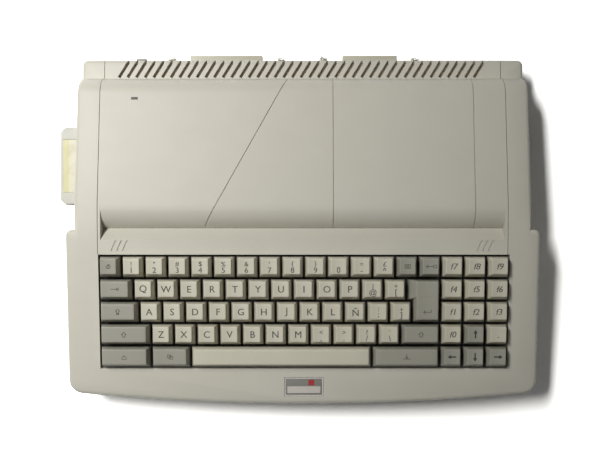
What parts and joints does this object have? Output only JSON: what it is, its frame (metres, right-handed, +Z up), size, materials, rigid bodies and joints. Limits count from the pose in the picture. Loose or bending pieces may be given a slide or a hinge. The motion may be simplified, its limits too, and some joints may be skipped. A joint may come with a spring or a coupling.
{
  "type": "home computer",
  "caption": "Desktop home computer with a full keyboard, a raised rear hump, a plug-in cartridge in its left side and a disc drive in its right side.",
  "frame": {"origin": "on the underside of the case, in the middle of the case's width and depth; the rubber feet reach 2 mm below it", "axes": "+X to the right, +Y to the rear, +Z up"},
  "size_m": [0.4113, 0.3065, 0.0676],
  "materials": {
    "case_plastic": "moulded, fine grain",
    "key_cream": "moulded, smooth",
    "key_grey": "moulded, smooth",
    "foot_rubber": "matt",
    "plated_steel": "zinc plated",
    "badge": "satin",
    "lamp": "dark red, translucent look",
    "board": "lacquered board",
    "dark_plastic": "moulded",
    "membrane_rubber": "silicone",
    "socket_shell": "moulded",
    "cartridge_plastic": "moulded",
    "label_paper": "printed paper",
    "drive_steel": "folded sheet",
    "bezel_plastic": "moulded"
  },
  "bodies": {
    "computer": {"lower_case": "case_plastic", "upper_case": "case_plastic", "centre_cover": "case_plastic", "rubber_feet": "foot_rubber", "case_screws": "plated_steel", "badge_plate": "badge", "power_lamp": "lamp", "main_board": "board", "key_plate": "dark_plastic", "key_membrane": "membrane_rubber", "expansion_socket": "socket_shell", "printer_socket": "socket_shell", "monitor_socket": "dark_plastic", "rear_jacks": "dark_plastic", "cartridge_socket": "dark_plastic", "joystick_sockets": "plated_steel", "drive_chassis": "drive_steel", "drive_bezel": "bezel_plastic", "drive_lamp": "lamp"},
    "cartridge": {"cartridge_shell": "cartridge_plastic", "cartridge_label": "label_paper", "cartridge_board": "board"},
    "flap": {"drive_flap": "dark_plastic"},
    "eject": {"eject_button": "dark_plastic"},
    "switch": {"power_switch": "dark_plastic"},
    "expansion_bail_left_wire": {"expansion_bail_left": "plated_steel"},
    "expansion_bail_right_wire": {"expansion_bail_right": "plated_steel"},
    "printer_bail_left_wire": {"printer_bail_left": "plated_steel"},
    "printer_bail_right_wire": {"printer_bail_right": "plated_steel"},
    "space_bar_body": {"space_bar": "key_cream"},
    "return_key_body": {"return_key": "key_grey"},
    "enter_key_body": {"enter_key": "key_grey"},
    "shift_key_left_body": {"shift_key_left": "key_grey"},
    "shift_key_right_body": {"shift_key_right": "key_grey"},
    "control_key_body": {"control_key": "key_grey"},
    "copy_key_body": {"copy_key": "key_grey"},
    "tab_key_body": {"tab_key": "key_grey"},
    "caps_lock_key_body": {"caps_lock_key": "key_grey"},
    "escape_key_body": {"escape_key": "key_grey"},
    "clear_key_body": {"clear_key": "key_grey"},
    "delete_key_body": {"delete_key": "key_grey"},
    "cursor_up_key_body": {"cursor_up_key": "key_grey"},
    "cursor_left_key_body": {"cursor_left_key": "key_grey"},
    "cursor_down_key_body": {"cursor_down_key": "key_grey"},
    "cursor_right_key_body": {"cursor_right_key": "key_grey"},
    "digit_keys_left_body": {"digit_keys_left": "key_cream"},
    "digit_keys_middle_body": {"digit_keys_middle": "key_cream"},
    "digit_keys_right_body": {"digit_keys_right": "key_cream"},
    "top_letters_left_body": {"top_letters_left": "key_cream"},
    "top_letters_middle_body": {"top_letters_middle": "key_cream"},
    "top_letters_right_body": {"top_letters_right": "key_cream"},
    "home_letters_left_body": {"home_letters_left": "key_cream"},
    "home_letters_middle_body": {"home_letters_middle": "key_cream"},
    "home_letters_right_body": {"home_letters_right": "key_cream"},
    "low_letters_left_body": {"low_letters_left": "key_cream"},
    "low_letters_middle_body": {"low_letters_middle": "key_cream"},
    "low_letters_right_body": {"low_letters_right": "key_cream"},
    "function_keys_left_body": {"function_keys_left": "key_cream"},
    "function_keys_middle_body": {"function_keys_middle": "key_cream"},
    "function_keys_right_body": {"function_keys_right": "key_cream"}
  },
  "joints": [
    {"name": "cartridge_pull", "type": "slide", "parent": "computer", "child": "cartridge", "axis": [-1, 0, 0], "range_m": [0, 0.075]},
    {"name": "flap_swing", "type": "hinge", "parent": "computer", "child": "flap", "pos_m": [0.1866, 0.066, 0.02718], "axis": [0, 1, 0], "range_deg": [0, 84], "stiffness_Nm_per_rad": 0.002, "springref_deg": -20.05},
    {"name": "eject_press", "type": "slide", "parent": "computer", "child": "eject", "axis": [-1, 0, 0], "range_m": [0, 0.005], "stiffness_N_per_m": 200, "springref_m": -0.002},
    {"name": "power_press", "type": "slide", "parent": "computer", "child": "switch", "axis": [0, -1, 0], "range_m": [0, 0.003], "stiffness_N_per_m": 300, "springref_m": -0.002},
    {"name": "expansion_bail_left_swing", "type": "hinge", "parent": "computer", "child": "expansion_bail_left_wire", "pos_m": [-0.115, 0.1517, 0.0116], "axis": [0, 0, 1], "range_deg": [-100, 0]},
    {"name": "expansion_bail_right_swing", "type": "hinge", "parent": "computer", "child": "expansion_bail_right_wire", "pos_m": [-0.02, 0.1517, 0.0116], "axis": [0, 0, 1], "range_deg": [0, 100]},
    {"name": "printer_bail_left_swing", "type": "hinge", "parent": "computer", "child": "printer_bail_left_wire", "pos_m": [0.02, 0.1517, 0.0116], "axis": [0, 0, 1], "range_deg": [-58, 42]},
    {"name": "printer_bail_right_swing", "type": "hinge", "parent": "computer", "child": "printer_bail_right_wire", "pos_m": [0.099, 0.1517, 0.0116], "axis": [0, 0, 1], "range_deg": [0, 100]},
    {"name": "space_bar_press", "type": "slide", "parent": "computer", "child": "space_bar_body", "axis": [0, 0.0906, -0.9959], "range_m": [0, 0.0036], "stiffness_N_per_m": 160, "springref_m": -0.001},
    {"name": "return_key_press", "type": "slide", "parent": "computer", "child": "return_key_body", "axis": [0, 0.0906, -0.9959], "range_m": [0, 0.0036], "stiffness_N_per_m": 160, "springref_m": -0.001},
    {"name": "enter_key_press", "type": "slide", "parent": "computer", "child": "enter_key_body", "axis": [0, 0.0906, -0.9959], "range_m": [0, 0.0036], "stiffness_N_per_m": 160, "springref_m": -0.001},
    {"name": "shift_key_left_press", "type": "slide", "parent": "computer", "child": "shift_key_left_body", "axis": [0, 0.0906, -0.9959], "range_m": [0, 0.0036], "stiffness_N_per_m": 160, "springref_m": -0.001},
    {"name": "shift_key_right_press", "type": "slide", "parent": "computer", "child": "shift_key_right_body", "axis": [0, 0.0906, -0.9959], "range_m": [0, 0.0036], "stiffness_N_per_m": 160, "springref_m": -0.001},
    {"name": "control_key_press", "type": "slide", "parent": "computer", "child": "control_key_body", "axis": [0, 0.0906, -0.9959], "range_m": [0, 0.0036], "stiffness_N_per_m": 160, "springref_m": -0.001},
    {"name": "copy_key_press", "type": "slide", "parent": "computer", "child": "copy_key_body", "axis": [0, 0.0906, -0.9959], "range_m": [0, 0.0036], "stiffness_N_per_m": 160, "springref_m": -0.001},
    {"name": "tab_key_press", "type": "slide", "parent": "computer", "child": "tab_key_body", "axis": [0, 0.0906, -0.9959], "range_m": [0, 0.0036], "stiffness_N_per_m": 160, "springref_m": -0.001},
    {"name": "caps_lock_key_press", "type": "slide", "parent": "computer", "child": "caps_lock_key_body", "axis": [0, 0.0906, -0.9959], "range_m": [0, 0.0036], "stiffness_N_per_m": 160, "springref_m": -0.001},
    {"name": "escape_key_press", "type": "slide", "parent": "computer", "child": "escape_key_body", "axis": [0, 0.0906, -0.9959], "range_m": [0, 0.0036], "stiffness_N_per_m": 160, "springref_m": -0.001},
    {"name": "clear_key_press", "type": "slide", "parent": "computer", "child": "clear_key_body", "axis": [0, 0.0906, -0.9959], "range_m": [0, 0.0036], "stiffness_N_per_m": 160, "springref_m": -0.001},
    {"name": "delete_key_press", "type": "slide", "parent": "computer", "child": "delete_key_body", "axis": [0, 0.0906, -0.9959], "range_m": [0, 0.0036], "stiffness_N_per_m": 160, "springref_m": -0.001},
    {"name": "cursor_up_key_press", "type": "slide", "parent": "computer", "child": "cursor_up_key_body", "axis": [0, 0.0906, -0.9959], "range_m": [0, 0.0036], "stiffness_N_per_m": 160, "springref_m": -0.001},
    {"name": "cursor_left_key_press", "type": "slide", "parent": "computer", "child": "cursor_left_key_body", "axis": [0, 0.0906, -0.9959], "range_m": [0, 0.0036], "stiffness_N_per_m": 160, "springref_m": -0.001},
    {"name": "cursor_down_key_press", "type": "slide", "parent": "computer", "child": "cursor_down_key_body", "axis": [0, 0.0906, -0.9959], "range_m": [0, 0.0036], "stiffness_N_per_m": 160, "springref_m": -0.001},
    {"name": "cursor_right_key_press", "type": "slide", "parent": "computer", "child": "cursor_right_key_body", "axis": [0, 0.0906, -0.9959], "range_m": [0, 0.0036], "stiffness_N_per_m": 160, "springref_m": -0.001},
    {"name": "digit_keys_left_press", "type": "slide", "parent": "computer", "child": "digit_keys_left_body", "axis": [0, 0.0906, -0.9959], "range_m": [0, 0.0036], "stiffness_N_per_m": 160, "springref_m": -0.001},
    {"name": "digit_keys_middle_press", "type": "slide", "parent": "computer", "child": "digit_keys_middle_body", "axis": [0, 0.0906, -0.9959], "range_m": [0, 0.0036], "stiffness_N_per_m": 160, "springref_m": -0.001},
    {"name": "digit_keys_right_press", "type": "slide", "parent": "computer", "child": "digit_keys_right_body", "axis": [0, 0.0906, -0.9959], "range_m": [0, 0.0036], "stiffness_N_per_m": 160, "springref_m": -0.001},
    {"name": "top_letters_left_press", "type": "slide", "parent": "computer", "child": "top_letters_left_body", "axis": [0, 0.0906, -0.9959], "range_m": [0, 0.0036], "stiffness_N_per_m": 160, "springref_m": -0.001},
    {"name": "top_letters_middle_press", "type": "slide", "parent": "computer", "child": "top_letters_middle_body", "axis": [0, 0.0906, -0.9959], "range_m": [0, 0.0036], "stiffness_N_per_m": 160, "springref_m": -0.001},
    {"name": "top_letters_right_press", "type": "slide", "parent": "computer", "child": "top_letters_right_body", "axis": [0, 0.0906, -0.9959], "range_m": [0, 0.0036], "stiffness_N_per_m": 160, "springref_m": -0.001},
    {"name": "home_letters_left_press", "type": "slide", "parent": "computer", "child": "home_letters_left_body", "axis": [0, 0.0906, -0.9959], "range_m": [0, 0.0036], "stiffness_N_per_m": 160, "springref_m": -0.001},
    {"name": "home_letters_middle_press", "type": "slide", "parent": "computer", "child": "home_letters_middle_body", "axis": [0, 0.0906, -0.9959], "range_m": [0, 0.0036], "stiffness_N_per_m": 160, "springref_m": -0.001},
    {"name": "home_letters_right_press", "type": "slide", "parent": "computer", "child": "home_letters_right_body", "axis": [0, 0.0906, -0.9959], "range_m": [0, 0.0036], "stiffness_N_per_m": 160, "springref_m": -0.001},
    {"name": "low_letters_left_press", "type": "slide", "parent": "computer", "child": "low_letters_left_body", "axis": [0, 0.0906, -0.9959], "range_m": [0, 0.0036], "stiffness_N_per_m": 160, "springref_m": -0.001},
    {"name": "low_letters_middle_press", "type": "slide", "parent": "computer", "child": "low_letters_middle_body", "axis": [0, 0.0906, -0.9959], "range_m": [0, 0.0036], "stiffness_N_per_m": 160, "springref_m": -0.001},
    {"name": "low_letters_right_press", "type": "slide", "parent": "computer", "child": "low_letters_right_body", "axis": [0, 0.0906, -0.9959], "range_m": [0, 0.0036], "stiffness_N_per_m": 160, "springref_m": -0.001},
    {"name": "function_keys_left_press", "type": "slide", "parent": "computer", "child": "function_keys_left_body", "axis": [0, 0.0906, -0.9959], "range_m": [0, 0.0036], "stiffness_N_per_m": 160, "springref_m": -0.001},
    {"name": "function_keys_middle_press", "type": "slide", "parent": "computer", "child": "function_keys_middle_body", "axis": [0, 0.0906, -0.9959], "range_m": [0, 0.0036], "stiffness_N_per_m": 160, "springref_m": -0.001},
    {"name": "function_keys_right_press", "type": "slide", "parent": "computer", "child": "function_keys_right_body", "axis": [0, 0.0906, -0.9959], "range_m": [0, 0.0036], "stiffness_N_per_m": 160, "springref_m": -0.001}
  ]
}
